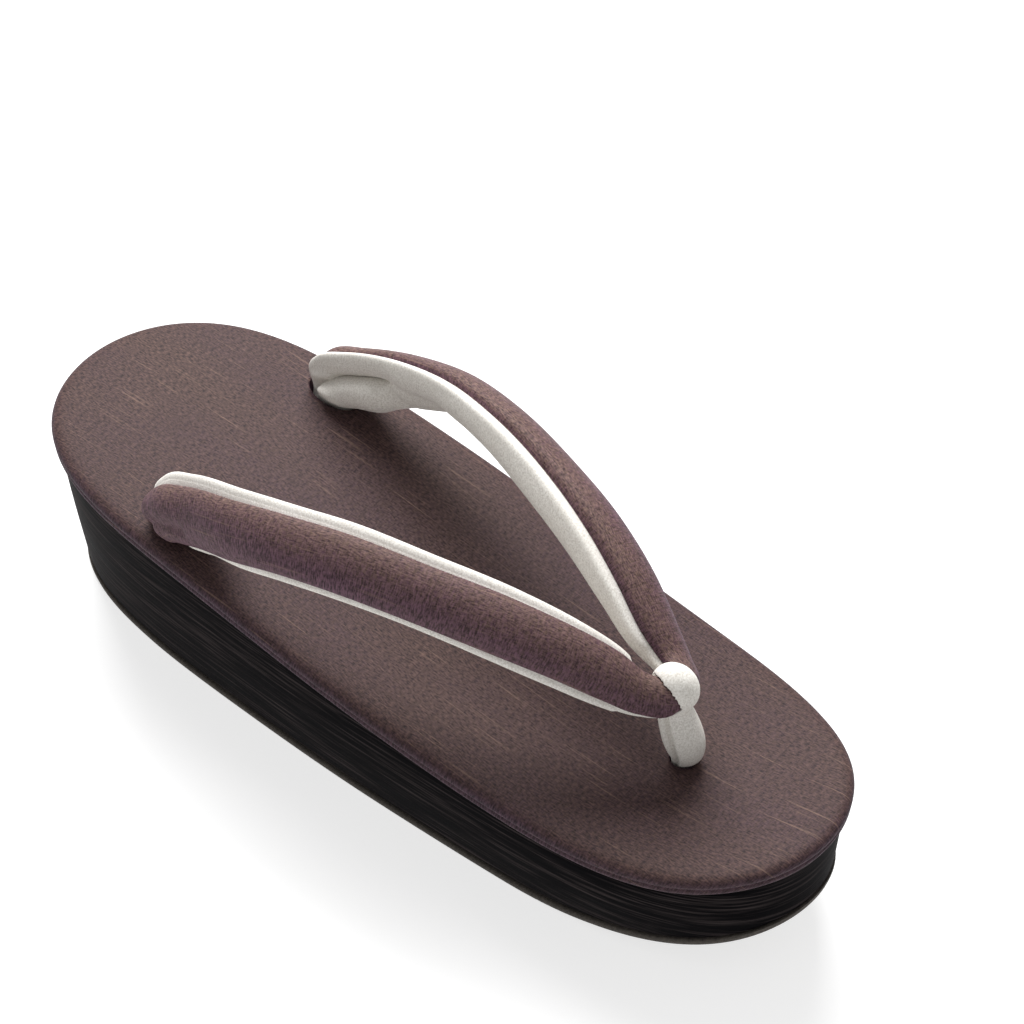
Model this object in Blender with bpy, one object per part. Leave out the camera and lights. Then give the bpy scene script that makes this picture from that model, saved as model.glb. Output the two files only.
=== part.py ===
"""A zori sandal: a cloth-wrapped footbed on a thick platform with a thin rubber outsole.

Two padded strap arms, cloth outside and suede inside, join at the toe inside a suede loop.
Frame: metres, +Y toward the toe, +X to the wearer's right, +Z up. The origin is on the floor,
under the middle of the sole's length and width. The sandal is its own mirror image in X.
"""
import math

import bpy
import bmesh
import numpy as np

# Sole
SOLE_LENGTH = 0.240
SOLE_WIDTH = 0.0826
HEEL_HEIGHT = 0.0502
BED_THICKNESS = 0.0060
BED_OVERHANG = 0.0015
SIDE_DRAFT = 0.0046
SIDE_BELLY = 1.56
OUTSOLE_THICKNESS = 0.0030
TOE_SPRING = 0.0200
TOE_SPRING_START = 0.71
HEEL_BEVEL = 0.0019
HEEL_BEVEL_END = 0.12

# Straps: the arms' greatest width from seam to seam, greatest thickness, and crown over the bed
STRAP_WIDTH = 0.0214
STRAP_THICKNESS = 0.0150
STRAP_CROWN = 0.0333
UPPER_SEAM = 24.0
UPPER_SEAM_TOE = 12.0
LOWER_SEAM = 172.0
SEAM_DIP = 0.14
LINING_ROLL = 0.09

# Toe loop: the rounded head over the strap joint and the post below it
LOOP_HEAD = 0.0126
LOOP_HEAD_RISE = 0.0243
POST_WIDTH = 0.0104
POST_DEPTH = 0.0110

# Gap between pieces that meet, and between the two panels of a strap at their seams
FIT_GAP = 0.0003
SEAM_GAP = 0.0003

# How finely curved forms are divided
OUTLINE_POINTS = 72
STRAP_RINGS = 38
FACE_POINTS = 12
LINING_POINTS = 15

# Outline of the footbed. fullness: half width over SOLE_WIDTH, past that of a half circle's rule
OUTLINE = {
    "along": (0.00, 0.10, 0.25, 0.50, 0.75, 0.90, 1.00),
    "fullness": (1.534, 1.338, 1.116, 0.998, 1.082, 1.274, 1.449),
}

# Top of the platform along its length. rise: share of HEEL_HEIGHT
ARCH = {
    "along": (0.00, 0.10, 0.20, 0.30, 0.40, 0.50, 0.60, 0.70, 0.80, 0.90, 1.00),
    "rise": (0.992, 1.000, 0.982, 0.944, 0.886, 0.817, 0.749, 0.697, 0.677, 0.711, 0.820),
}

# Rolled edge of the footbed. inset: share of BED_THICKNESS in from the outline; rise: share up
BED_EDGE = (
    {"inset": 0.28, "rise": 0.00},
    {"inset": 0.10, "rise": 0.18},
    {"inset": 0.00, "rise": 0.45},
    {"inset": 0.03, "rise": 0.66},
    {"inset": 0.14, "rise": 0.83},
    {"inset": 0.34, "rise": 0.94},
    {"inset": 0.75, "rise": 1.00},
)

# One strap arm from its tail in the platform to the joint in the toe loop.
# along: share of SOLE_LENGTH from the middle; out: share of SOLE_WIDTH from the centre line
# rise: share of STRAP_CROWN over the footbed; width, thick: shares of the strap's own
# heading: degrees from the toe's direction, outward; lean: degrees back from upright
# roll: degrees that the cloth face turns up
STRAP = (
    {"along": -0.241, "out": 0.363, "rise": -0.19, "width": 0.76, "thick": 0.40,
     "heading": 5, "lean": 90, "roll": 0},
    {"along": -0.241, "out": 0.363, "rise": 0.02, "width": 0.78, "thick": 0.44,
     "heading": 5, "lean": 89, "roll": 3},
    {"along": -0.244, "out": 0.374, "rise": 0.14, "width": 0.87, "thick": 0.72,
     "heading": 5, "lean": 70, "roll": 8},
    {"along": -0.232, "out": 0.374, "rise": 0.26, "width": 0.94, "thick": 0.73,
     "heading": 6, "lean": 50, "roll": 12},
    {"along": -0.197, "out": 0.378, "rise": 0.415, "width": 0.96, "thick": 0.70,
     "heading": 7, "lean": 33, "roll": 12},
    {"along": -0.128, "out": 0.395, "rise": 0.675, "width": 0.92, "thick": 0.70,
     "heading": 3, "lean": 21, "roll": 22},
    {"along": -0.069, "out": 0.389, "rise": 0.855, "width": 0.85, "thick": 0.75,
     "heading": -7, "lean": 10, "roll": 36},
    {"along": -0.005, "out": 0.350, "rise": 0.96, "width": 0.83, "thick": 0.85,
     "heading": -14, "lean": -1, "roll": 42},
    {"along": 0.078, "out": 0.283, "rise": 1.00, "width": 0.80, "thick": 0.95,
     "heading": -17, "lean": -7, "roll": 44},
    {"along": 0.156, "out": 0.212, "rise": 0.97, "width": 0.79, "thick": 0.99,
     "heading": -19, "lean": -13, "roll": 48},
    {"along": 0.213, "out": 0.150, "rise": 0.88, "width": 0.76, "thick": 0.95,
     "heading": -23, "lean": -19, "roll": 51},
    {"along": 0.257, "out": 0.096, "rise": 0.77, "width": 0.70, "thick": 0.82,
     "heading": -27, "lean": -19, "roll": 48},
    {"along": 0.287, "out": 0.067, "rise": 0.70, "width": 0.60, "thick": 0.70,
     "heading": -38, "lean": -14, "roll": 38},
    {"along": 0.304, "out": 0.038, "rise": 0.665, "width": 0.48, "thick": 0.56,
     "heading": -62, "lean": -6, "roll": 24},
    {"along": 0.309, "out": 0.000, "rise": 0.66, "width": 0.38, "thick": 0.46,
     "heading": -90, "lean": 0, "roll": 15},
)

# The post of the toe loop, bottom to top. rise: share of LOOP_HEAD_RISE over the footbed
# along: share of SOLE_LENGTH from the middle; width, depth: shares of the post's own
POST = (
    {"rise": -0.24, "along": 0.325, "width": 0.54, "depth": 0.54},
    {"rise": 0.00, "along": 0.325, "width": 0.56, "depth": 0.56},
    {"rise": 0.06, "along": 0.325, "width": 0.78, "depth": 0.78},
    {"rise": 0.13, "along": 0.324, "width": 0.92, "depth": 0.92},
    {"rise": 0.24, "along": 0.322, "width": 1.00, "depth": 1.00},
    {"rise": 0.42, "along": 0.319, "width": 0.98, "depth": 0.98},
    {"rise": 0.56, "along": 0.316, "width": 0.90, "depth": 0.90},
    {"rise": 0.68, "along": 0.313, "width": 0.80, "depth": 0.80},
    {"rise": 0.90, "along": 0.311, "width": 0.78, "depth": 0.80},
)


def smooth(xs, ys, x):
    """Value at x of a smooth curve through the points (xs, ys), one Hermite piece a span."""
    xs = np.asarray(xs, float)
    ys = np.asarray(ys, float)
    slopes = np.gradient(ys, xs)
    x = np.clip(x, xs[0], xs[-1])
    i = np.clip(np.searchsorted(xs, x, side="right") - 1, 0, len(xs) - 2)
    span = xs[i + 1] - xs[i]
    t = (x - xs[i]) / span
    rise = ys[i + 1] - ys[i]
    curve = t * t * (3 - 2 * t)
    start = t * (1 - t) ** 2
    end = -t * t * (1 - t)
    return ys[i] + rise * curve + span * (slopes[i] * start + slopes[i + 1] * end)


def share(y):
    """Place along the sole, from 0 at the heel to 1 at the toe."""
    return np.clip(y / SOLE_LENGTH + 0.5, 0.0, 1.0)


def platform_top(y):
    """Height of the platform's top, which the footbed follows."""
    return HEEL_HEIGHT * smooth(ARCH["along"], ARCH["rise"], share(y))


def bed_top(y):
    """Height of the footbed's top."""
    return platform_top(y) + BED_THICKNESS


def ground_line(y):
    """Height of the outsole's underside: flat, lifted at the toe and a little at the heel."""
    s = share(y)
    toe = np.clip((s - TOE_SPRING_START) / (1 - TOE_SPRING_START), 0, 1)
    heel = np.clip((HEEL_BEVEL_END - s) / HEEL_BEVEL_END, 0, 1)
    return TOE_SPRING * toe ** 2 + HEEL_BEVEL * heel ** 2


def outline(inset, draft=0.0):
    """Points around the sole, from the heel along the right side, moved in by inset.

    draft moves the long sides in further, and leaves the heel and toe where they are.
    """
    turn = np.linspace(0, 2 * math.pi, OUTLINE_POINTS, endpoint=False)

    def edge(angle):
        s = (1 - np.cos(angle)) / 2
        fullness = smooth(OUTLINE["along"], OUTLINE["fullness"], s)
        return np.stack([np.sin(angle) / 2 * fullness * SOLE_WIDTH, (s - 0.5) * SOLE_LENGTH])

    step = 1e-3
    x, y = edge(turn)
    dx, dy = edge(turn + step) - edge(turn - step)
    length = np.hypot(dx, dy)
    s = share(y)
    toe_end = np.clip((s - 0.8) / 0.2, 0, 1) ** 2
    heel_end = np.clip((0.2 - s) / 0.2, 0, 1) ** 2
    inward = inset + draft * (1 - toe_end - heel_end)
    return x - inward * dy / length, y + inward * dx / length


def new_object(name, mesh, material):
    """Object with its own material, shaded smooth with sharp edges kept."""
    mesh.materials.append(material)
    mesh.shade_smooth()
    mesh.set_sharp_from_angle(angle=math.radians(40))
    piece = bpy.data.objects.new(name, mesh)
    bpy.context.scene.collection.objects.link(piece)
    return piece


def principled(name, color, roughness):
    """Non-metallic Principled material."""
    material = bpy.data.materials.new(name)
    material.use_nodes = True
    shader = material.node_tree.nodes["Principled BSDF"]
    shader.inputs["Base Color"].default_value = (*color, 1.0)
    shader.inputs["Roughness"].default_value = roughness
    shader.inputs["Metallic"].default_value = 0.0
    material.diffuse_color = (*color, 1.0)
    return material


def loft(name, rings, across=False, seam_wall=None):
    """Closed mesh through rings of points. across caps it with strips from side to side.

    seam_wall splits the faces between each ring's last and first point from the first point
    of the lower ring ("first") or from its last ("last"), so that two panels match there.
    """
    mesh = bmesh.new()
    rows = [[mesh.verts.new(point) for point in ring] for ring in rings]
    count = len(rows[0])
    for low, high in zip(rows, rows[1:]):
        for i in range(count):
            j = (i + 1) % count
            if j or not seam_wall:
                mesh.faces.new((low[i], low[j], high[j], high[i]))
            elif seam_wall == "first":
                mesh.faces.new((low[i], low[j], high[i]))
                mesh.faces.new((low[j], high[j], high[i]))
            else:
                mesh.faces.new((low[i], low[j], high[j]))
                mesh.faces.new((low[i], high[j], high[i]))
    for row, flip in ((rows[0], True), (rows[-1], False)):
        if across:
            cap_across(mesh, row, flip)
        else:
            mesh.faces.new(row[::-1] if flip else row)
    bmesh.ops.recalc_face_normals(mesh, faces=mesh.faces)
    data = bpy.data.meshes.new(name)
    mesh.to_mesh(data)
    mesh.free()
    return data


def cap_across(mesh, row, flip):
    """Fill an outline ring with faces that join each right-hand edge to its left-hand twin."""
    count = len(row)
    for i in range(count // 2):
        corners = [row[i], row[i + 1], row[(count - i - 1) % count], row[(count - i) % count]]
        corners = list(dict.fromkeys(corners))
        mesh.faces.new(corners[::-1] if flip else corners)


def sole_ring(inset, draft, height):
    """Ring of points around the sole, with height a function of the place along it."""
    x, y = outline(inset, draft)
    return np.stack([x, y, height(y)], -1)


def make_footbed(material):
    """Cloth-wrapped board with a rolled edge."""
    rings = []
    for row in BED_EDGE:
        lift = FIT_GAP + row["rise"] * (BED_THICKNESS - FIT_GAP)
        rings.append(sole_ring(row["inset"] * BED_THICKNESS, 0.0,
                               lambda y, lift=lift: platform_top(y) + lift))
    return new_object("footbed", loft("footbed", rings, across=True), material)


def make_platform(material):
    """Thick wedge body whose long sides belly out and draw in toward the floor."""
    rings = []
    for down in (1.0, 0.97, 0.8, 0.55, 0.3, 0.12, 0.0):
        def height(y, down=down):
            foot = ground_line(y) + OUTSOLE_THICKNESS + FIT_GAP
            return platform_top(y) * (1 - down) + foot * down
        rings.append(sole_ring(BED_OVERHANG, SIDE_DRAFT * down ** SIDE_BELLY, height))
    return new_object("platform", loft("platform", rings, across=True), material)


def make_outsole(material):
    """Thin rubber sheet under the platform, its lower edge slightly rounded."""
    edge = OUTSOLE_THICKNESS * 0.2
    rings = []
    for inset, lift in ((2 * edge, 0.0), (edge * 0.6, edge), (0.0, OUTSOLE_THICKNESS)):
        rings.append(sole_ring(BED_OVERHANG + inset, SIDE_DRAFT,
                               lambda y, lift=lift: ground_line(y) + lift))
    return new_object("outsole", loft("outsole", rings, across=True), material)


def strap_stations():
    """Centre, section size and section directions along one arm, from tail to joint."""
    keys = ("along", "out", "rise", "width", "thick", "heading", "lean", "roll")
    table = {key: np.array([row[key] for row in STRAP], float) for key in keys}
    y = table["along"] * SOLE_LENGTH
    x = table["out"] * SOLE_WIDTH
    z = table["rise"] * STRAP_CROWN
    steps = np.sqrt(np.diff(x) ** 2 + np.diff(y) ** 2 + np.diff(z) ** 2)
    walk = np.concatenate([[0], np.cumsum(steps)])
    at = np.linspace(0, walk[-1], STRAP_RINGS)
    value = {key: smooth(walk, table[key], at) for key in keys}
    centre_y = value["along"] * SOLE_LENGTH
    centre = np.stack([value["out"] * SOLE_WIDTH, centre_y,
                       bed_top(centre_y) + value["rise"] * STRAP_CROWN], -1)
    heading, lean, roll = (np.radians(value[key]) for key in ("heading", "lean", "roll"))
    zero = np.zeros_like(heading)
    forward = np.stack([np.sin(heading), np.cos(heading), zero], -1)
    outward = np.stack([np.cos(heading), -np.sin(heading), zero], -1)
    upright = np.stack([zero, zero, zero + 1], -1)
    normal = np.cos(lean)[:, None] * upright - np.sin(lean)[:, None] * forward
    face = np.cos(roll)[:, None] * outward + np.sin(roll)[:, None] * normal
    seam = np.cos(roll)[:, None] * normal - np.sin(roll)[:, None] * outward
    half_width = value["width"] * STRAP_WIDTH / 2
    half_thick = value["thick"] * STRAP_THICKNESS / 2
    return centre, half_width, half_thick, seam, face


def pad_swell(angles, start, end):
    """Size of a panel against the plain oval: drawn in at its seams, fuller where the lining rolls."""
    dip = np.zeros_like(angles)
    for seam in (math.radians(start), math.radians(end)):
        dip = np.maximum(dip, SEAM_DIP * np.exp(-((angles - seam) / 0.26) ** 2))
    roll = np.zeros_like(angles)
    if end > 360:
        for lobe in (start + 32, end - 32):
            puff = LINING_ROLL * np.exp(-((angles - math.radians(lobe)) / 0.5) ** 2)
            roll = np.maximum(roll, puff)
    return 1 - dip + roll


def strap_rings(panel, count, grow=0.0):
    """Rings of one strap panel, from the right tail through the joint to the left tail.

    Angles run around the section from its upper edge toward the cloth face. grow makes the
    whole section larger all round, for the room that the straps need in the toe loop.
    """
    centre, half_width, half_thick, seam, face = strap_stations()
    right = []
    for i in range(len(centre)):
        upper = UPPER_SEAM + (UPPER_SEAM_TOE - UPPER_SEAM) * i / (len(centre) - 1)
        half_w, half_t = half_width[i] + grow, half_thick[i] + grow
        if panel == "whole":
            angles = np.linspace(0, 2 * math.pi, count, endpoint=False)
            swell = 1 + LINING_ROLL
        else:
            start, end = (upper, LOWER_SEAM) if panel == "face" else (LOWER_SEAM, 360 + upper)
            skip = SEAM_GAP / 2 / min(half_w, half_t)
            angles = np.linspace(math.radians(start) + skip, math.radians(end) - skip, count)
            swell = pad_swell(angles, start, end)
        along_seam = half_w * np.cos(angles) * swell
        along_face = half_t * np.sin(angles) * swell
        right.append(centre[i] + along_seam[:, None] * seam[i] + along_face[:, None] * face[i])
    left = [ring * np.array([-1, 1, 1]) for ring in right[:-1]]
    return right + left[::-1]


def make_strap_face(material):
    """Padded cloth half of both arms, outside, from the upper seam to the lower one."""
    rings = strap_rings("face", FACE_POINTS)
    return new_object("strap_face", loft("strap_face", rings, seam_wall="first"), material)


def make_strap_lining(material):
    """Padded suede half of both arms, inside, rolled over the top to the upper seam."""
    rings = strap_rings("lining", LINING_POINTS)
    return new_object("strap_lining", loft("strap_lining", rings, seam_wall="last"), material)


def guide(name, mesh):
    """Cutter, kept out of the model itself."""
    cutter = bpy.data.objects.new(name, mesh)
    bpy.context.scene.collection.objects.link(cutter)
    cutter.hide_render = True
    cutter.display_type = "WIRE"
    return cutter


def cut(piece, cutter, operation="DIFFERENCE"):
    """Boolean modifier on piece."""
    modifier = piece.modifiers.new(cutter.name, "BOOLEAN")
    modifier.operation = operation
    modifier.object = cutter
    modifier.solver = "EXACT"


def upright_hole(name, centre, heading, half_long, half_wide, low, high):
    """Oval cutter that stands upright, its long way turned by heading from the toe."""
    turn = np.linspace(0, 2 * math.pi, 20, endpoint=False)
    long_way = half_long * np.cos(turn)
    wide_way = half_wide * np.sin(turn)
    x = centre[0] + long_way * math.sin(heading) + wide_way * math.cos(heading)
    y = centre[1] + long_way * math.cos(heading) - wide_way * math.sin(heading)
    rings = [np.stack([x, y, np.full_like(x, z)], -1) for z in (low, high)]
    return guide(name, loft(name, rings))


def make_seats():
    """Cutters for the strap tails and the post, through the footbed into the platform."""
    cutters = []
    centre, half_width, half_thick, _, _ = strap_stations()
    high = bed_top(centre[0][1]) + BED_THICKNESS
    half_long = half_width[0] * (1 + LINING_ROLL) + 2 * FIT_GAP
    half_wide = STRAP[1]["thick"] * STRAP_THICKNESS / 2 * (1 + LINING_ROLL) + 2 * FIT_GAP
    heading = math.radians(STRAP[0]["heading"])
    for side, name in ((1, "right"), (-1, "left")):
        cutters.append(upright_hole(f"seat_{name}", (side * centre[0][0], centre[0][1]),
                                    side * heading, half_long, half_wide,
                                    centre[0][2] - FIT_GAP, high))
    post = POST[0]
    y = post["along"] * SOLE_LENGTH
    cutters.append(upright_hole("seat_post", (0, y), 0.0,
                                POST[1]["depth"] * POST_DEPTH / 2 + FIT_GAP,
                                POST[1]["width"] * POST_WIDTH / 2 + FIT_GAP,
                                bed_top(y) + post["rise"] * LOOP_HEAD_RISE - FIT_GAP,
                                bed_top(y) + BED_THICKNESS))
    return cutters


def post_rings(count=20):
    """Rings of the toe loop's post, slightly squared like two legs pressed together."""
    rings = []
    turn = np.linspace(0, 2 * math.pi, count, endpoint=False)
    for row in POST:
        y = row["along"] * SOLE_LENGTH
        base = bed_top(POST[0]["along"] * SOLE_LENGTH)
        half_x = row["width"] * POST_WIDTH / 2
        half_y = row["depth"] * POST_DEPTH / 2
        rings.append(np.stack([half_x * np.cos(turn), y + half_y * np.sin(turn),
                               np.full_like(turn, base + row["rise"] * LOOP_HEAD_RISE)], -1))
    return rings


def make_toe_loop(material):
    """Suede loop: a rounded head over the strap joint, and the post between the toes."""
    y = POST[-1]["along"] * SOLE_LENGTH
    base = bed_top(POST[0]["along"] * SOLE_LENGTH)
    head = bmesh.new()
    bmesh.ops.create_uvsphere(head, u_segments=24, v_segments=14, radius=LOOP_HEAD / 2)
    bmesh.ops.scale(head, vec=(0.84, 1.0, 1.02), verts=head.verts)
    bmesh.ops.translate(head, vec=(0, y, base + LOOP_HEAD_RISE), verts=head.verts)
    data = bpy.data.meshes.new("loop_head")
    head.to_mesh(data)
    head.free()
    post = new_object("toe_loop", loft("toe_loop", post_rings()), material)
    cut(post, guide("loop_head", data), "UNION")
    joint = strap_rings("whole", 24, grow=FIT_GAP)
    cut(post, guide("strap_room", loft("strap_room", joint)))
    return post


def main():
    for item in list(bpy.data.objects):
        bpy.data.objects.remove(item, do_unlink=True)
    cloth = (0.150, 0.098, 0.100)
    suede = (0.700, 0.680, 0.640)
    make_outsole(principled("outsole_rubber", (0.060, 0.050, 0.045), 0.80))
    platform = make_platform(principled("platform_black", (0.012, 0.011, 0.012), 0.45))
    footbed = make_footbed(principled("footbed_cloth", cloth, 0.75))
    make_strap_face(principled("strap_cloth", cloth, 0.70))
    make_strap_lining(principled("strap_suede", suede, 0.90))
    make_toe_loop(principled("loop_suede", suede, 0.90))
    for cutter in make_seats():
        cut(footbed, cutter)
        cut(platform, cutter)


main()
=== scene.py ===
# %% [markdown]
# Zori sandal: how its looks are made
# A zori is a flat-soled sandal: a tall light platform, a thin rubber sheet under it, a board wrapped
# in cloth on top, and two padded straps that meet in a suede loop between the toes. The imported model
# already holds each piece at its real size and place. This lesson makes each piece again with a finer
# surface, gives it its material, and sets up the camera, floor and light. Sizes are in metres.
# +Y points at the toe, +X to the wearer's right and +Z up.

import math

import bmesh
import bpy
import numpy as np
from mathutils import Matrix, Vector


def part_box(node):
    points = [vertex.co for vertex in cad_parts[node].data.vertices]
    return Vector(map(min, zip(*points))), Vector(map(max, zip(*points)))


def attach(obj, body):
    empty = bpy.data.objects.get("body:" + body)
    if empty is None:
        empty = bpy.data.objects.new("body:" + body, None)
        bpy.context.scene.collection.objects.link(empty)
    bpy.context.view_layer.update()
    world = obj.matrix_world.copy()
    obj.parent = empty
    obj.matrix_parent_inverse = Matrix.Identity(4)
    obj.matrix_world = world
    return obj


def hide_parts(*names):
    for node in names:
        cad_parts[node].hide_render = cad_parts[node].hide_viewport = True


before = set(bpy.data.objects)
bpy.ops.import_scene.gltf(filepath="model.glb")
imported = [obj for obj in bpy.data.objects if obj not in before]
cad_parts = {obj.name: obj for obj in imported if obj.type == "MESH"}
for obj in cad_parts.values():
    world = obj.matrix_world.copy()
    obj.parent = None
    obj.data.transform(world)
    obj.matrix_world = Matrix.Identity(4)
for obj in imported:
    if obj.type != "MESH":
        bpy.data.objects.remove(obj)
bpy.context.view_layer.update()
MM = 0.001
bed_low, bed_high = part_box("footbed")
SOLE_LENGTH = bed_high.y - bed_low.y
SOLE_WIDTH = bed_high.x - bed_low.x
print("nodes:", sorted(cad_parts))
print(f"sole {SOLE_LENGTH / MM:.1f} x {SOLE_WIDTH / MM:.1f} mm, footbed up to {bed_high.z / MM:.1f} mm")

# %% [markdown]
# Camera
# The camera is placed first, so that every later step can be looked at from the right side. A product
# picture of a shoe is taken from above and in front with a longer lens, here about 80 mm, so that the
# toe doesn't look swollen. The lens, the distance and the aim are worked out from the sole's outline.

# %% Camera
CAMERA_PLACE = Vector((0.2883, 0.2591, 0.4860))
CAMERA_AIM = Vector((-0.0656, -0.0273, 0.0))
FOCAL_LENGTH = 82.53
bpy.ops.object.select_all(action="DESELECT")
turn = (CAMERA_AIM - CAMERA_PLACE).to_track_quat("-Z", "Y").to_euler()
bpy.ops.object.camera_add(location=CAMERA_PLACE, rotation=turn)
camera = bpy.context.object
camera.data.sensor_width = 36.0
camera.data.lens = FOCAL_LENGTH
bpy.context.scene.camera = camera
print(f"camera {(CAMERA_AIM - CAMERA_PLACE).length / MM:.0f} mm from its aim")

# %% [markdown]
# Rings
# The sole's pieces and the straps are all long rounded forms, whose section changes slowly. By hand
# such a form starts as a circle, which is extruded again and again, and each new ring is moved onto
# its section. The functions here do just that. They number the rings and the points around
# them in two attributes, so that each point is found again after an extrusion, and for the UV map.
# Whatever an operator works on is picked first, with all else deselected.


# %% Start a piece as a ring, and grow it ring by ring
def pick(piece):
    """Deselect everything else and make the piece active."""
    bpy.ops.object.select_all(action="DESELECT")
    piece.select_set(True)
    bpy.context.view_layer.objects.active = piece


def place_ring(piece, number, points):
    """Move the selected ring of vertices onto its points."""
    mesh = bmesh.from_edit_mesh(piece.data)
    around = mesh.verts.layers.int["around"]
    ring = mesh.verts.layers.int["ring"]
    for vertex in mesh.verts:
        if vertex.select:
            vertex.co = points[vertex[around] - 1]
            vertex[ring] = number
    bmesh.update_edit_mesh(piece.data)


def grow_rings(name, rings):
    """A circle, extruded through all rings. It is left in edit mode, with the last ring selected."""
    bpy.ops.object.select_all(action="DESELECT")
    bpy.ops.mesh.primitive_circle_add(vertices=len(rings[0]), radius=10 * MM)
    piece = bpy.context.object
    piece.name = name
    piece.data.name = name
    piece.data.attributes.new("around", "INT", "POINT").data.foreach_set(
        "value", range(1, len(rings[0]) + 1))
    piece.data.attributes.new("ring", "INT", "POINT")
    bpy.ops.object.mode_set(mode="EDIT")
    bpy.ops.mesh.select_all(action="SELECT")
    place_ring(piece, 1, rings[0])
    for number, points in enumerate(rings[1:], start=2):
        bpy.ops.mesh.extrude_edges_move(TRANSFORM_OT_translate={"value": (0, 0, MM)})
        place_ring(piece, number, points)
    return piece


def select_ring(piece, number):
    """Select one ring of vertices, and nothing else."""
    bpy.ops.mesh.select_all(action="DESELECT")
    bpy.ops.mesh.select_mode(type="VERT")
    mesh = bmesh.from_edit_mesh(piece.data)
    ring = mesh.verts.layers.int["ring"]
    for vertex in mesh.verts:
        vertex.select = vertex[ring] == number
    mesh.select_flush(True)
    bmesh.update_edit_mesh(piece.data)


def finish_mesh(piece, smooth_angle=40):
    """Turn the faces outwards, leave edit mode and shade smooth below an angle."""
    bpy.ops.mesh.select_all(action="SELECT")
    bpy.ops.mesh.normals_make_consistent(inside=False)
    bpy.ops.object.mode_set(mode="OBJECT")
    bpy.ops.object.shade_smooth_by_angle(angle=math.radians(smooth_angle))
    print(f"{piece.name}: {len(piece.data.polygons)} faces")


def close_ends(piece, smooth_angle=40):
    """Close the last ring, which is still selected, and the first with a face each, and finish."""
    bpy.ops.mesh.edge_face_add()
    select_ring(piece, 1)
    bpy.ops.mesh.edge_face_add()
    finish_mesh(piece, smooth_angle)


# %% [markdown]
# UV maps in metres
# Threads follow a piece round its bends, so cloth needs a UV map. The sole's side gets one too. Each
# ring point gets the distance that the sheet has run there, across and along, in metres. Then a
# pattern's scale can be worked out from the real thread, the same on every piece.


# %% Write a UV map from the ring numbers
def lay_sheet(piece, across, along, period=None):
    """UV map from two arrays, a row for each ring. period is the length of a sheet that closes."""
    mesh = piece.data
    count = len(mesh.vertices)
    ring = np.zeros(count, int)
    around = np.zeros(count, int)
    mesh.attributes["ring"].data.foreach_get("value", ring)
    mesh.attributes["around"].data.foreach_get("value", around)
    place = np.array([vertex.co[:2] for vertex in mesh.vertices])
    known = (ring > 0) & (around > 0)
    place[known] = np.stack([across, along], -1)[ring[known] - 1, around[known] - 1]
    layer = mesh.uv_layers.new(name="sheet")
    for face in mesh.polygons:
        corners = place[[mesh.loops[i].vertex_index for i in face.loop_indices]]
        if period and np.ptp(corners[:, 0]) > period / 2:
            corners[corners[:, 0] < period / 2, 0] += period
        for i, corner in zip(face.loop_indices, corners):
            layer.data[i].uv = corner
    mesh.attributes.remove(mesh.attributes["ring"])
    mesh.attributes.remove(mesh.attributes["around"])


# %% [markdown]
# The sole's shape
# Seen from above a zori is a long oval, a little waisted. Its platform is high at the heel and dips
# toward the toe, its long sides draw in toward the floor, and its front is lifted for the step. All of
# this is given by short tables of shares, read through one smooth curve, and the heights come from the
# packed footbed. Every sole piece then takes its rings from the same three functions.

# %% Sizes of the sole
BED_THICKNESS = 6.0 * MM
HEEL_HEIGHT = bed_high.z - BED_THICKNESS
BED_OVERHANG = 1.5 * MM
SIDE_DRAFT = 4.6 * MM
SIDE_BELLY = 1.56
OUTSOLE_THICKNESS = 3.0 * MM
TOE_SPRING = 20.0 * MM
TOE_SPRING_START = 0.71
HEEL_BEVEL = 1.9 * MM
HEEL_BEVEL_END = 0.12
FIT_GAP = 0.3 * MM
SOLE_POINTS = 240
OUTLINE_ALONG = (0.00, 0.10, 0.25, 0.50, 0.75, 0.90, 1.00)
OUTLINE_FULLNESS = (1.534, 1.338, 1.116, 0.998, 1.082, 1.274, 1.449)
ARCH_ALONG = (0.00, 0.10, 0.20, 0.30, 0.40, 0.50, 0.60, 0.70, 0.80, 0.90, 1.00)
ARCH_RISE = (0.992, 1.000, 0.982, 0.944, 0.886, 0.817, 0.749, 0.697, 0.677, 0.711, 0.820)


# %% Smooth curve, heights and outline
def smooth(xs, ys, x):
    """Value at x of a smooth curve through the points (xs, ys)."""
    xs = np.asarray(xs, float)
    ys = np.asarray(ys, float)
    slopes = np.gradient(ys, xs)
    x = np.clip(x, xs[0], xs[-1])
    i = np.clip(np.searchsorted(xs, x, side="right") - 1, 0, len(xs) - 2)
    span = xs[i + 1] - xs[i]
    t = (x - xs[i]) / span
    curve = t * t * (3 - 2 * t)
    start = t * (1 - t) ** 2
    end = -t * t * (1 - t)
    return ys[i] + (ys[i + 1] - ys[i]) * curve + span * (slopes[i] * start + slopes[i + 1] * end)


def share(y):
    """Place along the sole, from 0 at the heel to 1 at the toe."""
    return np.clip(y / SOLE_LENGTH + 0.5, 0.0, 1.0)


def platform_top(y):
    """Height of the platform's top."""
    return HEEL_HEIGHT * smooth(ARCH_ALONG, ARCH_RISE, share(y))


def bed_top(y):
    """Height of the footbed's top."""
    return platform_top(y) + BED_THICKNESS


def ground_line(y):
    """Height of the outsole's underside."""
    s = share(y)
    toe = np.clip((s - TOE_SPRING_START) / (1 - TOE_SPRING_START), 0, 1)
    heel = np.clip((HEEL_BEVEL_END - s) / HEEL_BEVEL_END, 0, 1)
    return TOE_SPRING * toe ** 2 + HEEL_BEVEL * heel ** 2


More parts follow.
